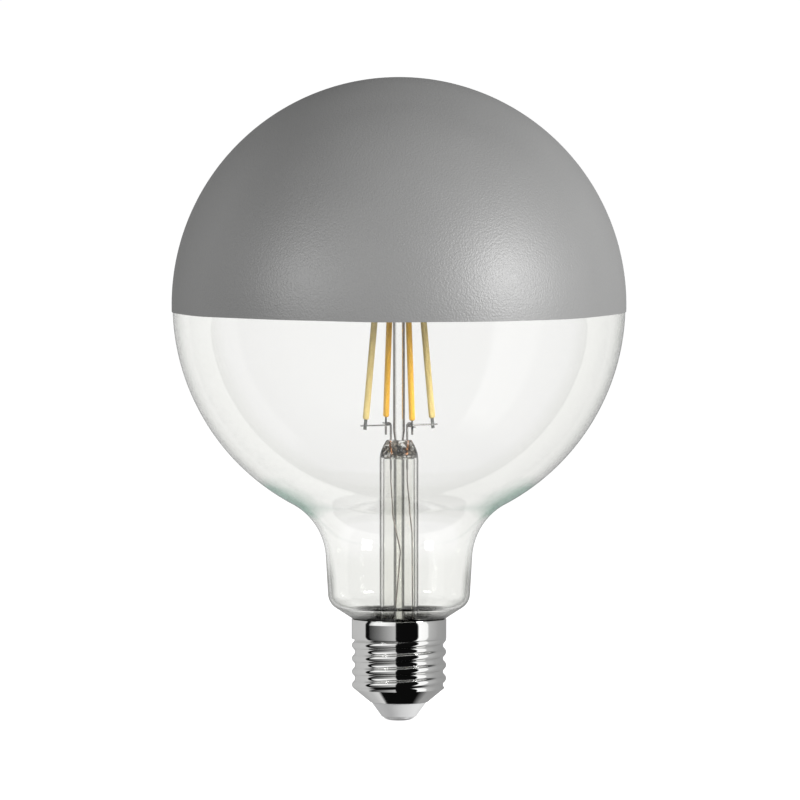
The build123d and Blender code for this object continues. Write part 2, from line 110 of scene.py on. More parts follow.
# Fineness of the meshes, in steps, degrees and millimetres
PRESS_STEPS = 16
STRIP_STEPS = 20
STRIP_END_ANGLES = (0, 20, 40, 60, 90)
STRIP_CORNER_STEPS = 6
SHELL_COLUMNS = 144
SHELL_ROWS = 204
SHARP_EDGE = 35.0
SHELL_SHARP_EDGE = 40.0
LATHE_MERGE = 0.001
SHELL_MERGE = 0.002


class Net:
    """A socket in a node tree. Arithmetic adds Math nodes, and node() adds any other node."""

    def __init__(self, tree, socket=None):
        self.tree = tree
        self.socket = socket

    def node(self, kind, settings=None, inputs=None, out=0):
        """Add a node, set its settings, then its sockets, and give one of its outputs."""
        made = self.tree.nodes.new(kind)
        for name, value in (settings or {}).items():
            setattr(made, name, value)
        for key, value in (inputs or {}).items():
            if isinstance(value, Net):
                self.tree.links.new(value.socket, made.inputs[key])
            else:
                made.inputs[key].default_value = value
        return Net(self.tree, made.outputs[out] if made.outputs else None)

    def math(self, operation, *others):
        """A Math node whose first input is this socket."""
        inputs = dict(enumerate((self, *others)))
        return self.node("ShaderNodeMath", {"operation": operation}, inputs)

    def __add__(self, other):
        return self.math("ADD", other)

    __radd__ = __add__

    def __mul__(self, other):
        return self.math("MULTIPLY", other)

    __rmul__ = __mul__

    def __sub__(self, other):
        return self.math("SUBTRACT", other)

    def __rsub__(self, other):
        return self.node("ShaderNodeMath", {"operation": "SUBTRACT"}, {0: other, 1: self})

    def __truediv__(self, other):
        return self.math("DIVIDE", other)

    def __rtruediv__(self, other):
        return self.node("ShaderNodeMath", {"operation": "DIVIDE"}, {0: other, 1: self})


def grey(value):
    """Neutral colour of a linear value."""
    return (value, value, value, 1.0)


def spread(share, low, high):
    """Value that goes from low to high as a share goes from 0 to 1."""
    return low + (high - low) * share


def share_between(net, value, begin, full, style="LINEAR"):
    """Share that goes from 0 to 1 as a value goes from begin to full."""
    inputs = {"Value": value, 1: begin, 2: full}
    return net.node("ShaderNodeMapRange", {"interpolation_type": style}, inputs)


def ramp(net, factor, stops, span):
    """Grey through stops (place, value), with places on a scale of that span about zero."""
    made = net.node("ShaderNodeValToRGB", None, {"Fac": factor}, "Color")
    band = made.socket.node.color_ramp
    while len(band.elements) < len(stops):
        band.elements.new(1.0)
    for element, (spot, value) in zip(band.elements, stops):
        element.position = spot / span + 0.5
        element.color = grey(value)
    return made


def mixed(net, factor, first, second):
    """Mix of two colours."""
    settings = {"data_type": "RGBA"}
    return net.node("ShaderNodeMix", settings, {0: factor, 6: first, 7: second}, 2)


def place(net):
    """Object coordinates, in metres."""
    return net.node("ShaderNodeTexCoord", None, None, "Object")


def axis(net, vector, name):
    """One part of a vector, X, Y or Z."""
    return net.node("ShaderNodeSeparateXYZ", None, {0: vector}, name)


def level(net):
    """Height above the face of the centre contact, in millimetres."""
    return axis(net, place(net), "Z") / MM


def turned_away(net):
    """How far a surface turns away from the eye, from 0 where it faces it to 1 at its outline."""
    return net.node("ShaderNodeLayerWeight", None, {"Blend": 0.5}, "Facing")


def noise(net, size, detail=2.0, stretch=None):
    """Noise from 0 to 1 with cells of a size in millimetres."""
    spot = place(net)
    if stretch:
        spot = net.node("ShaderNodeVectorMath", {"operation": "MULTIPLY"}, {0: spot, 1: stretch})
    inputs = {"Vector": spot, "Scale": 1 / (size * MM), "Detail": detail, "Roughness": 0.5}
    return net.node("ShaderNodeTexNoise", None, inputs, "Fac")


def bump(net, height, depth, strength=1.0, over=None):
    """Normal bent by a height of a depth in millimetres, over another bent one if given."""
    inputs = {"Strength": strength, "Distance": depth * MM, "Height": height}
    if over:
        inputs["Normal"] = over
    return net.node("ShaderNodeBump", None, inputs, "Normal")


def material(name, shade):
    """Material whose surface is the shader that a function builds in its tree."""
    made = bpy.data.materials.new(name)
    made.use_nodes = True
    made.node_tree.nodes.clear()
    net = Net(made.node_tree)
    net.node("ShaderNodeOutputMaterial", None, {"Surface": shade(net)})
    return made


def principled(net, inputs):
    """Principled shader with these inputs."""
    return net.node("ShaderNodeBsdfPrincipled", None, inputs, "BSDF")


def level_mask(net, low, high, fade):
    """Mask that is 1 between two heights in millimetres and fades to 0 past them."""
    height = level(net)
    rise = share_between(net, height, low - fade, low, "SMOOTHSTEP")
    fall = share_between(net, height, high, high + fade, "SMOOTHSTEP")
    return rise * (1.0 - fall)


# Values of the finishes: linear colours, and lengths in millimetres
DRIFT_SIZE = 20.0
TINT_DRIFT = 0.03
GLASS_IOR = 1.5
LAMP_PASS = 0.97
GRAIN_DETAIL = 4.0
GRAIN_BUMP = 0.4
GRAIN_SPREAD = 0.15
PEEL_SIZE = 0.55
PEEL_DEPTH = 0.11
SPECK_SIZE = 0.25
SPECK_SHARE = 0.25
SPECK_TONE = 0.32
LACQUER_CLOUD = 18.0
LACQUER_TONES = ((0.235, 0.235, 0.233, 1), (0.258, 0.258, 0.256, 1))
LACQUER_IOR = 1.65
GRAZE_SPAN = (0.5, 0.8)
GRAZE_ROUGHNESS = 0.4
PHOSPHOR_FACE = ((0.51, 0.26, 0.008, 1), (0.58, 0.325, 0.018, 1))
PHOSPHOR_EDGE = ((0.4, 0.305, 0.095, 1), (0.48, 0.38, 0.155, 1))
SEALED_SPAN = (73.2, 76.8)
LEAD_BARE = ((0.12, 0.118, 0.112, 1), (0.22, 0.215, 0.205, 1))
LEAD_SEALED = ((0.6, 0.24, 0.1, 1), (0.75, 0.36, 0.17, 1))
NICKEL_TONES = ((0.8, 0.8, 0.79, 1), (0.87, 0.87, 0.86, 1))
COLLAR_CROWN = 1.2
CROWN_DEPTH = 0.28


def glass(clear, edge, outer_shade=None, rims=(), bands=(), ripple=None, gloss=0.25):
    """Shade for clear glass that lets lamps through, its outline darkened by tint and painted
    shade.

    The edge is (start, end, colour): the outline's tint, partly the glass's own tint and partly
    painted shade of the refraction and reflections there. An outer shade is (start, end, colour):
    a faint painted shade over the outer part of the form. A rim (low, high, fade, colour,
    widening) is another edge tint for a range of heights. A band (low, high, fade, colour, patch,
    bare, full) tints a range of heights in patches of that size; some bands are painted shade.
    A ripple (low, high, fade, size, depth) makes the surface uneven in a range of heights.
    """

    def shade(net):
        start, end, outline = edge
        away = turned_away(net) + spread(noise(net, DRIFT_SIZE), -TINT_DRIFT, TINT_DRIFT)
        for low, high, fade, tint, widening in rims:
            mask = level_mask(net, low, high, fade)
            outline = mixed(net, mask, outline, tint)
            away = away + widening * mask
        colour = clear
        # Painted shade over the outer part of the form, by how far it turns away
        if outer_shade:
            begin, full, tint = outer_shade
            colour = mixed(net, share_between(net, away, begin, full), colour, tint)
        for low, high, fade, tint, patch, bare, full in bands:
            cover = share_between(net, noise(net, patch), bare, full)
            colour = mixed(net, level_mask(net, low, high, fade) * cover, colour, tint)
        colour = mixed(net, share_between(net, away, start, end), colour, outline)
        inputs = {
            "Base Color": colour,
            "Roughness": 0.0,
            "IOR": GLASS_IOR,
            "Specular IOR Level": gloss,
            "Transmission Weight": 1.0,
        }
        if ripple:
            low, high, fade, size, depth = ripple
            swell = noise(net, size) * level_mask(net, low, high, fade)
            inputs["Normal"] = bump(net, swell, depth)
        body = principled(net, inputs)
        through = net.node("ShaderNodeBsdfTransparent", None, {"Color": grey(LAMP_PASS)})
        shadow = net.node("ShaderNodeLightPath", None, None, "Is Shadow Ray")
        return net.node("ShaderNodeMixShader", None, {0: shadow, 1: body, 2: through})

    return shade


def mottled(dark, light, cell, rough, metallic=0.0, depth=0.02):
    """Shade for an opaque finish with a fine mottle in its colour, gloss and surface."""

    def shade(net):
        grain = noise(net, cell, GRAIN_DETAIL)
        return principled(
            net,
            {
                "Base Color": mixed(net, grain, dark, light),
                "Roughness": rough * spread(grain, 1 - GRAIN_SPREAD, 1 + GRAIN_SPREAD),
                "Metallic": metallic,
                "Normal": bump(net, grain, depth, GRAIN_BUMP),
            },
        )

    return shade


def lacquer(net):
    """Satin grey lacquer with orange peel, whose gloss softens where it is seen at a low angle."""
    peel = noise(net, PEEL_SIZE)
    cloud = noise(net, LACQUER_CLOUD, detail=3.0)
    speck = noise(net, SPECK_SIZE, detail=1.0)
    tone = mixed(net, cloud, *LACQUER_TONES)
    graze = share_between(net, turned_away(net), *GRAZE_SPAN)
    return principled(
        net,
        {
            "Base Color": mixed(net, speck * SPECK_SHARE, tone, grey(SPECK_TONE)),
            "Roughness": spread(cloud, 0.43, 0.51) + GRAZE_ROUGHNESS * graze,
            "IOR": LACQUER_IOR,
            "Normal": bump(net, peel + SPECK_SHARE * speck, PEEL_DEPTH),
        },
    )


def phosphor(net):
    """Coat of a filament: deep yellow where its face is to the front, paler where its edge is."""
    turned = net.node("ShaderNodeAttribute", {"attribute_name": "coat_face"}, None, "Fac")
    side = net.node("ShaderNodeAttribute", {"attribute_name": "coat_side"}, None, "Fac")
    grain = noise(net, size=0.4, detail=3.0)
    streak = noise(net, size=1.2, stretch=(1.0, 1.0, 0.12))
    deep = mixed(net, grain, *PHOSPHOR_FACE)
    pale = mixed(net, streak, *PHOSPHOR_EDGE)
    return principled(
        net,
        {
            "Base Color": mixed(net, turned * spread(side, 0.75, 1.0), pale, deep),
            "Roughness": spread(grain, 0.55, 0.7),
            "Specular IOR Level": 0.3,
            "Normal": bump(net, grain, depth=0.03, strength=GRAIN_BUMP),
        },
    )


def lead_metal(net):
    """Drawn wire of dull metal, copper coated where it goes through the press."""
    grain = noise(net, size=0.6, detail=GRAIN_DETAIL)
    bare = mixed(net, grain, *LEAD_BARE)
    sealed = mixed(net, grain, *LEAD_SEALED)
    return principled(
        net,
        {
            "Base Color": mixed(net, level_mask(net, *SEALED_SPAN, fade=0.4), bare, sealed),
            "Metallic": 1.0,
            "Roughness": spread(grain, 0.28, 0.4),
            "Normal": bump(net, grain, depth=0.02, strength=GRAIN_BUMP),
        },
    )


def nickel(net):
    """Polished nickel plate with faint rolling marks, crowned at both ends of the collar."""
    height = level(net)
    over = ((height - CAP_HEIGHT) / COLLAR_CROWN + 1.0).math("MAXIMUM", 0.0)
    under = ((COLLAR_FLOOR - height) / COLLAR_CROWN + 1.0).math("MAXIMUM", 0.0)
    under = under.math("MINIMUM", 1.0)
    crown = bump(net, 1.0 - over * over - under * under, CROWN_DEPTH)
    roll = noise(net, size=0.6, detail=3.0, stretch=(0.2, 0.2, 1.6))
    cloud = noise(net, size=4.0)
    return principled(
        net,
        {
            "Base Color": mixed(net, cloud, *NICKEL_TONES),
            "Metallic": 1.0,
            "Roughness": spread(roll, 0.03, 0.08),
            "Normal": bump(net, roll, depth=0.01, strength=0.08, over=crown),
        },
    )


# Glass of the envelope and of the pieces inside it
GLASS_CLEAR = (1.0, 1.0, 0.992, 1)
STEM_CLEAR = (0.945, 0.945, 0.925, 1)
ROD_CLEAR = (0.99, 0.991, 0.979, 1)
# Envelope outline: partly the glass's own green, partly painted shade of its reflections
GLASS_EDGE = (0.72, 0.97, (0.6, 0.62, 0.57, 1))
# Stem, exhaust and rod outlines: painted shade of refraction, brown on the rod for the filaments
STEM_EDGE = (0.46, 0.64, (0.012, 0.012, 0.01, 1))
EXHAUST_EDGE = (0.12, 0.36, (0.04, 0.04, 0.036, 1))
ROD_EDGE = (0.06, 0.3, (0.03, 0.022, 0.017, 1))
# Painted shade: a faint darkening of the globe's outer ring, for the reflected shade there
GLASS_OUTER_SHADE = (0.38, 0.46, (0.945, 0.948, 0.925, 1))
SHOULDER_RIM = (57.5, 64.5, 3.0, (0.1, 0.3, 0.2, 1), 0.1)
# Painted shade: a darker, wider outline on the neck towards the heel
NECK_RIM = (24.0, 38.0, 12.0, (0.12, 0.125, 0.11, 1), 0.16)
NECK_BAND = (26.0, 42.0, 9.0, (0.94, 0.942, 0.925, 1), 1.0, 0.0, 0.1)
# Painted shade: dark patches on the heel glass above the collar, for its shade and dark
# reflections
SEAL_PAINTED_SHADE = (20.0, 28.7, 0.4, (0.07, 0.07, 0.064, 1), 1.0, 0.22, 0.42)
# Painted shade: dark brown patches on the press for the uneven refraction of the pinched glass
PRESS_PAINTED_SHADE = (*SEALED_SPAN, 1.2, (0.08, 0.065, 0.045, 1), 1.1, 0.42, 0.54)
PRESS_RIPPLE = (73.0, 78.0, 0.6, 1.2, 0.35)
clear_glass = material(
    "clear_glass",
    glass(
        GLASS_CLEAR,
        GLASS_EDGE,
        outer_shade=GLASS_OUTER_SHADE,
        rims=(SHOULDER_RIM, NECK_RIM),
        bands=(NECK_BAND, SEAL_PAINTED_SHADE),
        gloss=0.12,
    ),
)
tube_glass = material(
    "tube_glass", glass(STEM_CLEAR, STEM_EDGE, bands=(PRESS_PAINTED_SHADE,), ripple=PRESS_RIPPLE)
)
exhaust_glass = material("exhaust_glass", glass(STEM_CLEAR, EXHAUST_EDGE))
rod_glass = material("rod_glass", glass(ROD_CLEAR, ROD_EDGE))

# Other finishes of the detailed pieces
grey_lacquer = material("grey_lacquer", lacquer)
filament_coat = material("filament_coat", phosphor)
nickel_plate = material("nickel_plate", nickel)
white_insulator = material(
    "white_insulator", mottled(grey(0.88), grey(0.92), cell=1.5, rough=0.4)
)
contact_metal = material(
    "contact_metal",
    mottled(grey(0.75), grey(0.88), cell=0.8, rough=0.4, metallic=0.35, depth=0.03),
)

# Finishes of the CAD pieces that stay, with the starts of their names
NODE_FINISHES = {
    "tab_metal": (
        mottled(
            (0.035, 0.037, 0.035, 1), (0.07, 0.073, 0.07, 1), cell=0.5, rough=0.45, metallic=1.0
        ),
        ("foot_tab", "head_tab"),
    ),
    "lead_wire": (lead_metal, ("lead_wire", "foot_wire", "head_wire")),
    "copper_wire": (
        mottled(
            (0.07, 0.06, 0.05, 1), (0.13, 0.112, 0.095, 1), cell=0.6, rough=0.4, metallic=1.0
        ),
        ("outer_lead", "fuse_board_lead", "contact_lead", "shell_lead"),
    ),
    "cement": (
        mottled((0.07, 0.07, 0.065, 1), (0.13, 0.13, 0.12, 1), cell=0.7, rough=0.8, depth=0.15),
        ("basing_cement",),
    ),
    "board": (
        mottled((0.02, 0.09, 0.05, 1), (0.03, 0.13, 0.07, 1), cell=1.2, rough=0.5),
        ("driver_board",),
    ),
    "chip_black": (
        mottled(grey(0.02), grey(0.035), cell=0.4, rough=0.55),
        ("bridge_rectifier", "driver_chip"),
    ),
    "capacitor_sleeve": (
        mottled(grey(0.015), grey(0.03), cell=1.0, rough=0.3),
        ("smoothing_capacitor",),
    ),
    "resistor_body": (
        mottled((0.25, 0.33, 0.36, 1), (0.33, 0.42, 0.44, 1), cell=0.8, rough=0.45),
        ("fuse_resistor", "sense_resistor"),
    ),
}
for finish_name, (finish_shade, starts) in NODE_FINISHES.items():
    finish = material(finish_name, finish_shade)
    for node_name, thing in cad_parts.items():
        if node_name.startswith(starts):
            thing.data.materials.clear()
            thing.data.materials.append(finish)


def placed(name, data):
    """New object in the scene."""
    made = bpy.data.objects.new(name, data)
    scene.collection.objects.link(made)
    return made


def piece(name, mesh, finish, slot, *stands_for):
    """Object of the lamp that stands for CAD nodes."""
    made = placed(name, mesh)
    if finish:
        mesh.materials.clear()
        mesh.materials.append(finish)
    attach(made, "root")
    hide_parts(*stands_for)
    return made


def arc(middle, radius, start, end, steps):
    """Points on an arc, between angles in degrees."""
    angles = [radians(start + (end - start) * i / steps) for i in range(steps + 1)]
    return [Vector((middle.x + radius * cos(a), middle.y + radius * sin(a))) for a in angles]


def rounding_centre(corner, radius, first, second):
    """Centre of the arc in a corner of two lines, from the angles of their normals in degrees."""
    one = Vector((cos(radians(first)), sin(radians(first))))
    two = Vector((cos(radians(second)), sin(radians(second))))
    return corner - radius * (one + two) / (1 + one.dot(two))


def round_rings(points):
    """Circular rings from points (radius, height)."""
    return [(max(x, 0.0), max(x, 0.0), z) for x, z in points]


def lathe(name, rings, turns, closed=False):
    """Mesh of rings (half width, half depth, height) in millimetres; no width makes a pole."""
    form = bmesh.new()
    rows = []
    for width, depth, height in rings:
        count = turns if width > 0 else 1
        angles = [2 * pi * i / turns for i in range(count)]
        spots = [(width * MM * cos(a), depth * MM * sin(a), height * MM) for a in angles]
        rows.append([form.verts.new(spot) for spot in spots])
    pairs = list(zip(rows, rows[1:]))
    if closed:
        pairs.append((rows[-1], rows[0]))
    for low, high in pairs:
        for i in range(turns):
            j = (i + 1) % turns
            if len(low) == 1:
                form.faces.new((low[0], high[j], high[i]))
            elif len(high) == 1:
                form.faces.new((low[i], low[j], high[0]))
            else:
                form.faces.new((low[i], low[j], high[j], high[i]))
    bmesh.ops.remove_doubles(form, verts=form.verts, dist=LATHE_MERGE * MM)
    bmesh.ops.recalc_face_normals(form, faces=form.faces)
    mesh = bpy.data.meshes.new(name)
    form.to_mesh(mesh)
    form.free()
    mesh.shade_smooth()
    mesh.set_sharp_from_angle(angle=radians(SHARP_EDGE))
    return mesh


def turned_piece(name, rings, finish, slot, node, turns, closed=False):
    """Turned piece of the lamp that stands for one CAD node."""
    return piece(name, lathe(name, rings, turns, closed), finish, slot, node)


# Glass envelope
globe_middle = Vector((0, GLOBE_HEIGHT))
heel_normal = HEEL_SLOPE - 90
neck_normal = -NECK_TAPER
neck_out = Vector((cos(radians(neck_normal)), sin(radians(neck_normal))))
neck_up = Vector((-neck_out.y, neck_out.x))
shoulder_foot = NECK_CORNER + SHOULDER_RADIUS * neck_out - globe_middle
half_slope = shoulder_foot.dot(neck_up)
excess = shoulder_foot.length_squared - (GLASS_RADIUS + SHOULDER_RADIUS) ** 2
shoulder_rise = -half_slope - sqrt(half_slope**2 - excess)
shoulder_middle = globe_middle + shoulder_foot + neck_up * shoulder_rise
shoulder_angle = degrees(atan2(shoulder_middle.y - GLOBE_HEIGHT, shoulder_middle.x))
heel_middle = rounding_centre(NECK_CORNER, HEEL_RADIUS, neck_normal, heel_normal)
throat_middle = rounding_centre(THROAT_CORNER, -THROAT_RADIUS, heel_normal, 0)


def envelope_profile(inset):
    """Half section of the glass from the crown to the seal, set in from its outer face."""
    shoulder = SHOULDER_RADIUS + inset
    points = arc(globe_middle, GLASS_RADIUS - inset, 90, shoulder_angle, steps=120)
    points += arc(shoulder_middle, shoulder, shoulder_angle + 180, 180 + neck_normal, steps=24)
    points += arc(heel_middle, HEEL_RADIUS - inset, neck_normal, heel_normal, steps=14)
    points += arc(throat_middle, THROAT_RADIUS + inset, heel_normal + 180, 180, steps=10)
    points.append(Vector((THROAT_CORNER.x - inset, SEAL_HEIGHT)))
    points[0].x = 0
    return points


envelope_rings = round_rings(envelope_profile(0) + envelope_profile(GLASS_WALL)[::-1])
turned_piece(
    "clear_envelope", envelope_rings, clear_glass, "clear_glass", "glass_envelope", turns=192
)

# Crown paint, with the slight waver of a sprayed edge: waves (count, size, start) around it
EDGE_WAVES = ((2, 0.1, 0.6), (3, 0.07, 2.1), (7, 0.05, 4.0), (13, 0.03, 1.2))
WAVER_REACH = 6.0


def edge_waver(azimuth):
    """Rise of the paint's edge around the globe, in millimetres."""
    return sum(size * sin(count * azimuth + start) for count, size, start in EDGE_WAVES)


def paint_profile(radius):
    """Half section of one face of the coat, from the crown to its edge."""
    edge = degrees(asin((PAINT_EDGE_HEIGHT - GLOBE_HEIGHT) / radius))
    points = arc(globe_middle, radius, 90, edge, steps=72)
    points[0].x = 0
    return points


paint_rings = round_rings(paint_profile(GLOBE_RADIUS) + paint_profile(PAINT_INNER_RADIUS)[::-1])
paint_mesh = lathe("painted_crown", paint_rings, turns=256)
globe_centre = Vector((0, 0, GLOBE_HEIGHT * MM))
for vertex in paint_mesh.vertices:
    spot = vertex.co - globe_centre
    over_edge = spot.z / MM - PAINT_EDGE_HEIGHT + GLOBE_HEIGHT
    near = max(0.0, 1 - over_edge / WAVER_REACH) ** 2
    distance = spot.length
    spot.z += edge_waver(atan2(spot.y, spot.x)) * near * MM
    vertex.co = spot.normalized() * distance + globe_centre
piece("painted_crown", paint_mesh, grey_lacquer, "grey_lacquer", "crown_paint")


# Stem with its flattened press
def press_ring(rise):
    """Ring of the press above the stem's shoulder, on a curve through its three sections."""
    ring = [0.0, 0.0]
    for section, *halves in PRESS_SECTIONS:
        weight = 1.0
        for other, *_ in PRESS_SECTIONS:
            if other != section:
                weight *= (rise - other) / (section - other)
        ring = [total + weight * half for total, half in zip(ring, halves)]
    return (*ring, STEM_SHOULDER + rise)


flare_middle = Vector((STEM_RADIUS - STEM_WALL / 2 + FLARE_BEND, FLARE_HEIGHT))
flare_end = 180 + FLARE_TURN
outer_flare = arc(flare_middle, FLARE_BEND - STEM_WALL / 2, flare_end, 180, steps=16)
inner_flare = arc(flare_middle, FLARE_BEND + STEM_WALL / 2, 180, flare_end, steps=16)
stem_bore = STEM_RADIUS - STEM_WALL
press_rise = PRESS_SECTIONS[-1][0]
press_top = STEM_SHOULDER + press_rise
cavity_rise, *cavity_halves = CAVITY_SECTION
cavity_top = STEM_SHOULDER + cavity_rise
stem_rings = [
    (0.0, 0.0, cavity_top),
    (*cavity_halves, cavity_top),
    (stem_bore, stem_bore, STEM_SHOULDER),
    *round_rings(inner_flare + outer_flare),
    *(press_ring(press_rise * i / PRESS_STEPS) for i in range(PRESS_STEPS + 1)),
    (0.0, 0.0, press_top),
]
turned_piece("glass_stem", stem_rings, tube_glass, "stem_glass", "stem", turns=96)

# Exhaust tube and support rod
tip_top = EXHAUST_TIP + EXHAUST_TIP_LENGTH
exhaust_rings = round_rings(
    [
        (0, EXHAUST_TIP),
        (EXHAUST_TIP_RADIUS, EXHAUST_TIP),
        (EXHAUST_RADIUS, tip_top),
        (EXHAUST_RADIUS, EXHAUST_TOP),
        (EXHAUST_BORE, EXHAUST_TOP),
        (EXHAUST_BORE, tip_top),
        (0, EXHAUST_TIP + EXHAUST_TIP_LENGTH / 2),
    ]
)
turned_piece(
    "glass_exhaust_tube", exhaust_rings, exhaust_glass, "stem_glass", "exhaust_tube", turns=48
)
rod_points = [
    (0, press_top),
    (ROD_FOOT_RADIUS, press_top),
    (ROD_RADIUS, press_top + ROD_FOOT_LENGTH),
    *arc(Vector((0, ROD_TOP - ROD_RADIUS)), ROD_RADIUS, 0, 90, steps=12),
]
rod_points[-1].x = 0
rod_rings = round_rings(rod_points)
turned_piece("glass_rod", rod_rings, rod_glass, "stem_glass", "support_rod", turns=48)

# Insulator and centre contact
taper_slope = radians(SHELL_TAPER)
cone_top = SHELL_BOTTOM - SEAT_GAP
flange_top = SHELL_BOTTOM + INSULATOR_FLANGE


def lining_radius(height):
    """Radius of the insulator where it lies against the shell's taper."""
    inset = (SHELL_WALL + SEAT_GAP) / sin(taper_slope)
    return MOUTH_RADIUS - inset + (height - SHELL_BOTTOM) / tan(taper_slope)


cone_run = INSULATOR_TOP_RADIUS - INSULATOR_BOTTOM_RADIUS
cone_normal = degrees(atan2(-cone_run, cone_top - CONTACT_HEIGHT))
cone_corner = Vector((INSULATOR_BOTTOM_RADIUS, CONTACT_HEIGHT))
edge_middle = rounding_centre(cone_corner, INSULATOR_EDGE, -90, cone_normal)
insulator_points = [
    (RIVET_RADIUS + SEAT_GAP, CONTACT_HEIGHT),
    *arc(edge_middle, INSULATOR_EDGE, -90, cone_normal, steps=8),
    (INSULATOR_TOP_RADIUS, cone_top),
    (lining_radius(cone_top), cone_top),
    (lining_radius(flange_top), flange_top),
    (RIVET_RADIUS + SEAT_GAP, flange_top),
]
turned_piece(
    "white_insulator",
    round_rings(insulator_points),
    white_insulator,
    "white_insulator",
    "insulator",
    turns=128,
    closed=True,
)
dome_run = CONTACT_RADIUS - CONTACT_FACE_RADIUS
dome_rise = CONTACT_HEIGHT - CONTACT_RIM
dome_radius = (dome_run**2 + dome_rise**2) / (2 * dome_rise)
dome_turn = degrees(asin(dome_run / dome_radius))
dome_middle = Vector((CONTACT_FACE_RADIUS, dome_radius))
rivet_top = flange_top + RIVET_HEAD_THICKNESS
contact_points = [
    (0, 0),
    *arc(dome_middle, dome_radius, -90, dome_turn - 90, steps=10),
    (CONTACT_RADIUS, CONTACT_HEIGHT),
    (RIVET_RADIUS, CONTACT_HEIGHT),
    (RIVET_RADIUS, flange_top),
    (RIVET_HEAD_RADIUS, flange_top),
    (RIVET_HEAD_RADIUS, rivet_top),
    (RIVET_BORE, rivet_top),
    (RIVET_BORE, CONTACT_HEIGHT),
    (0, CONTACT_HEIGHT),
]
turned_piece(
    "contact_disc",
    round_rings(contact_points),
    contact_metal,
    "contact_metal",
    "centre_contact",
    turns=96,
)


def node_tree(name, values):
    """Geometry tree with named number inputs, and the modifier values that set them."""
    tree = bpy.data.node_groups.new(name, "GeometryNodeTree")
    tree.interface.new_socket("Geometry", in_out="INPUT", socket_type="NodeSocketGeometry")
    tree.interface.new_socket("Geometry", in_out="OUTPUT", socket_type="NodeSocketGeometry")
    settings = {}
    for label, value in values.items():
        kind = "NodeSocketInt" if isinstance(value, int) else "NodeSocketFloat"
        socket = tree.interface.new_socket(label, in_out="INPUT", socket_type=kind)
        settings[socket.identifier] = value
    return tree, settings


def given(net, label):
    """One of the inputs of a geometry tree."""
    return net.node("NodeGroupInput", None, None, label)


def vector_from(net, parts):
    """Vector from its parts."""
    return net.node("ShaderNodeCombineXYZ", None, parts)


def end_tree(net, geometry, finish):
    """Close a geometry tree with a real mesh in its finish."""
    real = net.node("GeometryNodeRealizeInstances", None, {"Geometry": geometry})
    coated = net.node("GeometryNodeSetMaterial", None, {"Geometry": real, "Material": finish})
    net.node("NodeGroupOutput", None, {"Geometry": coated})


def grown(name, mesh, tree, settings, wall=0.0):
    """Plain mesh that a geometry tree makes from a mesh, with a wall set inwards if given."""
    maker = placed(name, mesh)
    rule = maker.modifiers.new("rule", "NODES")
    rule.node_group = tree
    for key, value in settings.items():
        rule[key] = value
    if wall:
        sheet = maker.modifiers.new("sheet", "SOLIDIFY")
        sheet.thickness = wall * MM
        sheet.offset = -1.0
    bpy.context.view_layer.update()
    evaluated = maker.evaluated_get(bpy.context.evaluated_depsgraph_get())
    made = bpy.data.meshes.new_from_object(evaluated)
    made.name = name
    bpy.data.objects.remove(maker)
    return made


# Filaments: one coated strip, set around the rod by a rule
def strip_mesh():
    """Strip with rounded edges and ends, marked with how far each point faces outwards."""
    form = bmesh.new()
    side_layer = form.verts.layers.float.new("coat_side")
    ends = [FILAMENT_END * (1 - cos(radians(a))) for a in STRIP_END_ANGLES]
    middle = [FILAMENT_LENGTH * i / STRIP_STEPS for i in range(1, STRIP_STEPS)]
    heights = ends + middle + [FILAMENT_LENGTH - z for z in ends[::-1]]
    across, around = (half - FILAMENT_CORNER for half in FILAMENT_HALF)
    corners = ((across, around), (-across, around), (-across, -around), (across, -around))
    rows = []
    for height in heights:
        depth = min(height, FILAMENT_LENGTH - height, FILAMENT_END)
        inset = FILAMENT_END - sqrt(FILAMENT_END**2 - (FILAMENT_END - depth) ** 2)
        rounding = FILAMENT_CORNER - inset
        row = []
        for quarter, (x, y) in enumerate(corners):
            for step in range(STRIP_CORNER_STEPS + 1):
                turn = radians(90 * quarter + 90 * step / STRIP_CORNER_STEPS)
                spot = (x + rounding * cos(turn), y + rounding * sin(turn), height)
                vertex = form.verts.new([length * MM for length in spot])
                vertex[side_layer] = cos(turn) ** 2
                row.append(vertex)
        rows.append(row)
    for low, high in zip(rows, rows[1:]):
        for i in range(len(low)):
            j = (i + 1) % len(low)
            form.faces.new((low[i], low[j], high[j], high[i]))
    form.faces.new(rows[0][::-1])
    form.faces.new(rows[-1])
    bmesh.ops.recalc_face_normals(form, faces=form.faces)
    mesh = bpy.data.meshes.new("strip")
    form.to_mesh(mesh)
    form.free()
    mesh.shade_smooth()
    return mesh


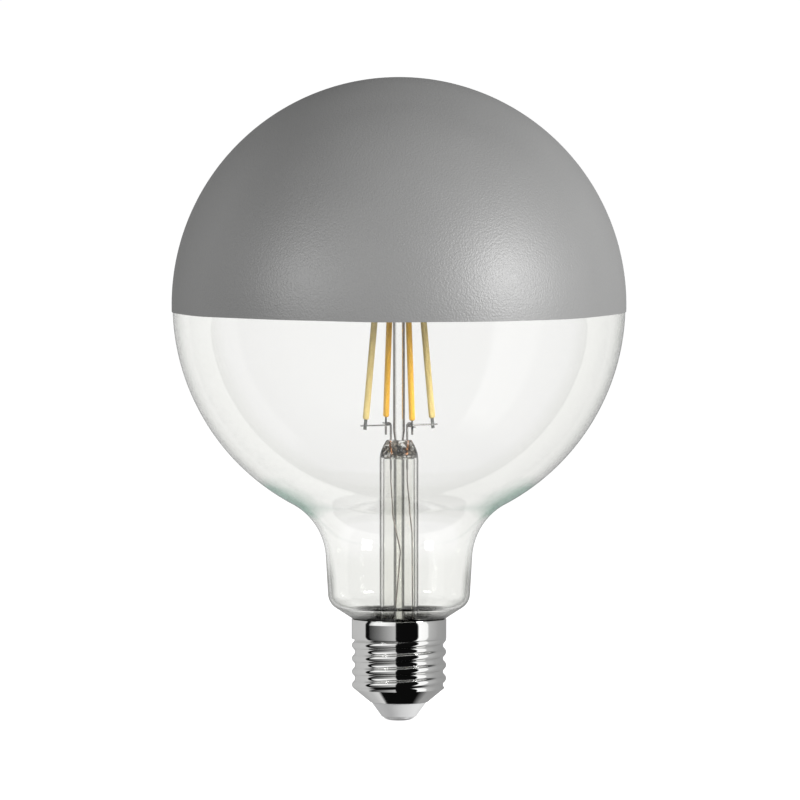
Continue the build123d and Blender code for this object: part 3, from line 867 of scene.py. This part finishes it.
def filament_mesh():
    """Strips around the rod, every second one marked as having its face to the front."""
    tree, values = node_tree(
        "filament_ring",
        {
            "Count": FILAMENT_COUNT,
            "Ring": FILAMENT_RING * MM,
            "Height": FILAMENT_FOOT * MM,
            "Lean": radians(FILAMENT_LEAN),
            "First": radians(FILAMENT_AZIMUTH),
        },
    )
    net = Net(tree)
    index = net.node("GeometryNodeInputIndex")
    azimuth = given(net, "First") + index * (2 * pi / given(net, "Count"))
    ring = given(net, "Ring")
    foot = {
        0: ring * azimuth.math("COSINE"),
        1: ring * azimuth.math("SINE"),
        2: given(net, "Height"),
    }
    lean = {1: given(net, "Lean") * -1.0, 2: azimuth}
    feet = net.node(
        "GeometryNodePoints",
        None,
        {"Count": given(net, "Count"), "Position": vector_from(net, foot)},
    )
    strips = net.node(
        "GeometryNodeInstanceOnPoints",
        None,
        {"Points": feet, "Instance": given(net, "Geometry"), "Rotation": vector_from(net, lean)},
    )
    faced = net.node(
        "GeometryNodeStoreNamedAttribute",
        {"data_type": "FLOAT", "domain": "INSTANCE"},
        {"Geometry": strips, "Name": "coat_face", "Value": index.math("MODULO", 2.0)},
    )
    end_tree(net, faced, filament_coat)
    return grown("coated_filaments", strip_mesh(), tree, values)


filament_nodes = [f"filament_{i + 1}" for i in range(FILAMENT_COUNT)]
piece("coated_filaments", filament_mesh(), None, "filament_coat", *filament_nodes)


# Screw shell: a grid bent to a tube, with its radius by the rule of a rolled thread
def shell_mesh():
    """Rolled shell: taper, round thread and collar, with the wall of its sheet."""
    tree, values = node_tree(
        "rolled_shell",
        {
            "Columns": SHELL_COLUMNS,
            "Rows": SHELL_ROWS,
            "Bottom": SHELL_BOTTOM,
            "Top": CAP_HEIGHT,
            "Pitch": THREAD_PITCH,
            "Crest radius": CREST_RADIUS,
            "Root radius": ROOT_RADIUS,
            "Crest height": CREST_HEIGHT,
            "Mouth radius": MOUTH_RADIUS,
            "Taper run": 1 / tan(taper_slope),
            "Collar floor": COLLAR_FLOOR,
            "Collar radius": COLLAR_RADIUS,
            "Collar corner": COLLAR_CORNER,
        },
    )
    net = Net(tree)
    size = {"Size X": 1.0, "Size Y": 1.0}
    size["Vertices X"] = given(net, "Columns")
    size["Vertices Y"] = given(net, "Rows")
    grid = net.node("GeometryNodeMeshGrid", None, size, "Mesh")
    spot = net.node("GeometryNodeInputPosition")
    turn = axis(net, spot, "X") + 0.5
    rise = axis(net, spot, "Y") + 0.5
    bottom = given(net, "Bottom")
    height = bottom + rise * (given(net, "Top") - bottom)
    pitch = given(net, "Pitch")
    crest = given(net, "Crest radius")
    root = given(net, "Root radius")
    depth = crest - root
    bend = (depth * depth + pitch * pitch * 0.25) / (4.0 * depth)
    phase = (height - given(net, "Crest height")) / pitch - turn + 0.5
    crest_away = (phase.math("FRACT") - 0.5).math("ABSOLUTE") * pitch
    root_away = pitch * 0.5 - crest_away
    on_crest = crest - bend + (bend * bend - crest_away * crest_away).math("SQRT")
    in_root = root + bend - (bend * bend - root_away * root_away).math("SQRT")
    is_crest = crest_away.math("LESS_THAN", pitch * 0.25)
    thread = in_root + is_crest * (on_crest - in_root)
    taper = given(net, "Mouth radius") + (height - bottom) * given(net, "Taper run")
    thread = thread.math("MINIMUM", taper)
    corner = given(net, "Collar corner")
    over_floor = height - given(net, "Collar floor")
    short = (corner - over_floor).math("MAXIMUM", 0.0)
    rounded = (corner * corner - short * short).math("SQRT") - corner
    collar = given(net, "Collar radius") + rounded
    is_collar = over_floor.math("GREATER_THAN", 0.0)
    radius = (thread + is_collar * (collar - thread)) * MM
    angle = turn * (2 * pi)
    bent = {0: radius * angle.math("COSINE"), 1: radius * angle.math("SINE"), 2: height * MM}
    tube = net.node(
        "GeometryNodeSetPosition", None, {"Geometry": grid, "Position": vector_from(net, bent)}
    )
    closed = net.node(
        "GeometryNodeMergeByDistance", None, {"Geometry": tube, "Distance": SHELL_MERGE * MM}
    )
    smooth = net.node("GeometryNodeSetShadeSmooth", None, {"Geometry": closed})
    end_tree(net, smooth, nickel_plate)
    mesh = grown("rolled_shell", bpy.data.meshes.new("sheet"), tree, values, SHELL_WALL)
    mesh.set_sharp_from_angle(angle=radians(SHELL_SHARP_EDGE))
    return mesh


shell = piece("rolled_shell", shell_mesh(), None, "nickel_plate", "screw_shell")

# Studio: white room, floor that keeps the shadow, sphere of cards for reflections, two softboxes
FLOOR_REACH = 30.0
FLOOR_LEVEL = -0.0003
FLOOR_TONE = 0.8
FLOOR_GLOW = 0.81
AMBIENT = 0.27


def stage_piece(name, mesh, shade, unseen_by):
    """Piece of the studio, which some kinds of ray don't see."""
    mesh.materials.append(material(name, shade))
    made = placed(name, mesh)
    for ray in unseen_by:
        setattr(made, f"visible_{ray}", False)


def floor_shade(net):
    """White floor, bright by itself, that takes a faint shadow."""
    matt = net.node("ShaderNodeBsdfDiffuse", None, {"Color": grey(FLOOR_TONE)})
    glow = net.node("ShaderNodeEmission", None, {"Color": grey(1.0), "Strength": FLOOR_GLOW})
    return net.node("ShaderNodeAddShader", None, {0: matt, 1: glow})


floor_sides = ((-1, -1), (1, -1), (1, 1), (-1, 1))
floor_corners = [(x * FLOOR_REACH, y * FLOOR_REACH, FLOOR_LEVEL) for x, y in floor_sides]
floor_mesh = bpy.data.meshes.new("floor")
floor_mesh.from_pydata(floor_corners, [], [(0, 1, 2, 3)])
stage_piece("floor", floor_mesh, floor_shade, ("diffuse", "glossy", "transmission"))

# Glow of the cards by direction from the camera's side, in degrees, where right is positive
CARD_RADIUS = 1.6
LEFT_STOPS = ((-180, 0.35), (-150, 0.55), (-91, 0.62), (-88, 0.004), (-78, 0.004))
RIGHT_STOPS = ((-7, 0.004), (47, 0.004), (50, 1.2), (74, 1.1))
BACK_STOPS = ((78, 0.55), (110, 0.4), (150, 0.35), (180, 0.35))
FRONT_STOPS = ((-75, 0.06), (-50, 0.2), (-9, 0.55))
HIGH_FRONT_STOPS = ((-75, 0.7), (-62, 1.1), (-38, 1.1), (-9, 0.8))
LEVEL_STOPS = (*LEFT_STOPS, *FRONT_STOPS, *RIGHT_STOPS, *BACK_STOPS)
ABOVE_STOPS = (*LEFT_STOPS, *HIGH_FRONT_STOPS, *RIGHT_STOPS, *BACK_STOPS)
STEEP_LEFT_STOPS = ((-155, 0.02), (-135, 0.15), (-92, 0.15), (-85, 0.02))
STEEP_STOPS = (*STEEP_LEFT_STOPS, (85, 0.02), (100, 0.08), (150, 0.02))
ZENITH_STOPS = ((-180, 0.01), (180, 0.01))
# Sines of the elevation between which each tier above comes in, and its stops
CARD_TIERS = (
    (-0.03, 0.06, ABOVE_STOPS),
    (0.6, 0.75, STEEP_STOPS),
    (0.88, 0.94, ZENITH_STOPS),
)
# The same for the cards below, whose stops go by the reach behind the lamp, left negative
UNDER_REACH = (-0.72, -0.86)
UNDER_STOPS = ((-1, 0.75), (-0.44, 0.75), (-0.39, 0.004), (0.59, 0.004), (0.65, 0.35), (1, 0.3))


def card_shade(net):
    """Glow of the sphere of cards: level directions, tiers above them, and those well below."""
    spot = place(net)
    across, along, up = (axis(net, spot, name) for name in "XYZ")
    rise = up / CARD_RADIUS
    turn = across.math("ARCTAN2", along * -1.0) / (2 * pi) + 0.5
    glow = ramp(net, turn, LEVEL_STOPS, span=360)
    for begin, full, stops in CARD_TIERS:
        tier = ramp(net, turn, stops, span=360)
        glow = mixed(net, share_between(net, rise, begin, full), glow, tier)
    behind = along.math("MAXIMUM", 0.0) * across.math("SIGN") / CARD_RADIUS
    under = ramp(net, behind * 0.5 + 0.5, UNDER_STOPS, span=2)
    glow = mixed(net, share_between(net, rise, *UNDER_REACH), glow, under)
    return net.node("ShaderNodeEmission", None, {"Color": glow})


card_rings = round_rings(arc(Vector((0, 0)), CARD_RADIUS / MM, -90, 90, steps=48))
card_mesh = lathe("card_sphere", card_rings, turns=96)
stage_piece("card_sphere", card_mesh, card_shade, ("camera", "diffuse", "transmission", "shadow"))

# The softboxes don't light the plated shell, which mirrors the cards alone
mirrors = bpy.data.collections.new("mirrors")
mirrors.objects.link(shell)
mirrors.collection_objects[0].light_linking.link_state = "EXCLUDE"


def softbox(name, azimuth, elevation, distance, size, power):
    """Square lamp aimed at the globe, by its direction from the camera's side."""
    lamp = bpy.data.lights.new(name, "AREA")
    lamp.size = size
    lamp.energy = power
    made = placed(name, lamp)
    a, e = radians(azimuth), radians(elevation)
    out = Vector((sin(a) * cos(e), -cos(a) * cos(e), sin(e)))
    made.location = out * distance + globe_centre
    made.rotation_euler = out.to_track_quat("Z", "Y").to_euler()
    made.visible_camera = False
    made.light_linking.receiver_collection = mirrors


softbox("key", azimuth=55, elevation=12.5, distance=1.2, size=0.36, power=15.4)
softbox("fill", azimuth=-51, elevation=11.5, distance=1.2, size=0.3, power=5.2)

world = bpy.data.worlds.new("room")
world.use_nodes = True
world.node_tree.nodes.clear()
net = Net(world.node_tree)
seen = net.node("ShaderNodeLightPath", None, None, "Is Camera Ray")
seen = seen.math("MAXIMUM", net.node("ShaderNodeLightPath", None, None, "Is Transmission Ray"))
ambient = net.node("ShaderNodeBackground", None, {"Color": grey(1.0), "Strength": AMBIENT})
white = net.node("ShaderNodeBackground", None, {"Color": grey(1.0), "Strength": 1.0})
room = net.node("ShaderNodeMixShader", None, {0: seen, 1: ambient, 2: white})
net.node("ShaderNodeOutputWorld", None, {"Surface": room})
scene.world = world

# Camera of the photograph, a little above the globe's widest line
CAMERA_SPOT = Vector((0.000275, -3.0, 0.2445))
CAMERA_AIM = Vector((0.000275, 0.0, 0.0882))
CAMERA_LENS = 491.6
CAMERA_SENSOR = 36.0
GLASS_BOUNCES = 24
camera = bpy.data.cameras.new("camera")
camera.sensor_width = CAMERA_SENSOR
camera.lens = CAMERA_LENS
viewer = placed("camera", camera)
viewer.location = CAMERA_SPOT
viewer.rotation_euler = (CAMERA_AIM - CAMERA_SPOT).to_track_quat("-Z", "Y").to_euler()
scene.camera = viewer
scene.view_settings.view_transform = "Standard"
scene.cycles.max_bounces = GLASS_BOUNCES
scene.cycles.transmission_bounces = GLASS_BOUNCES
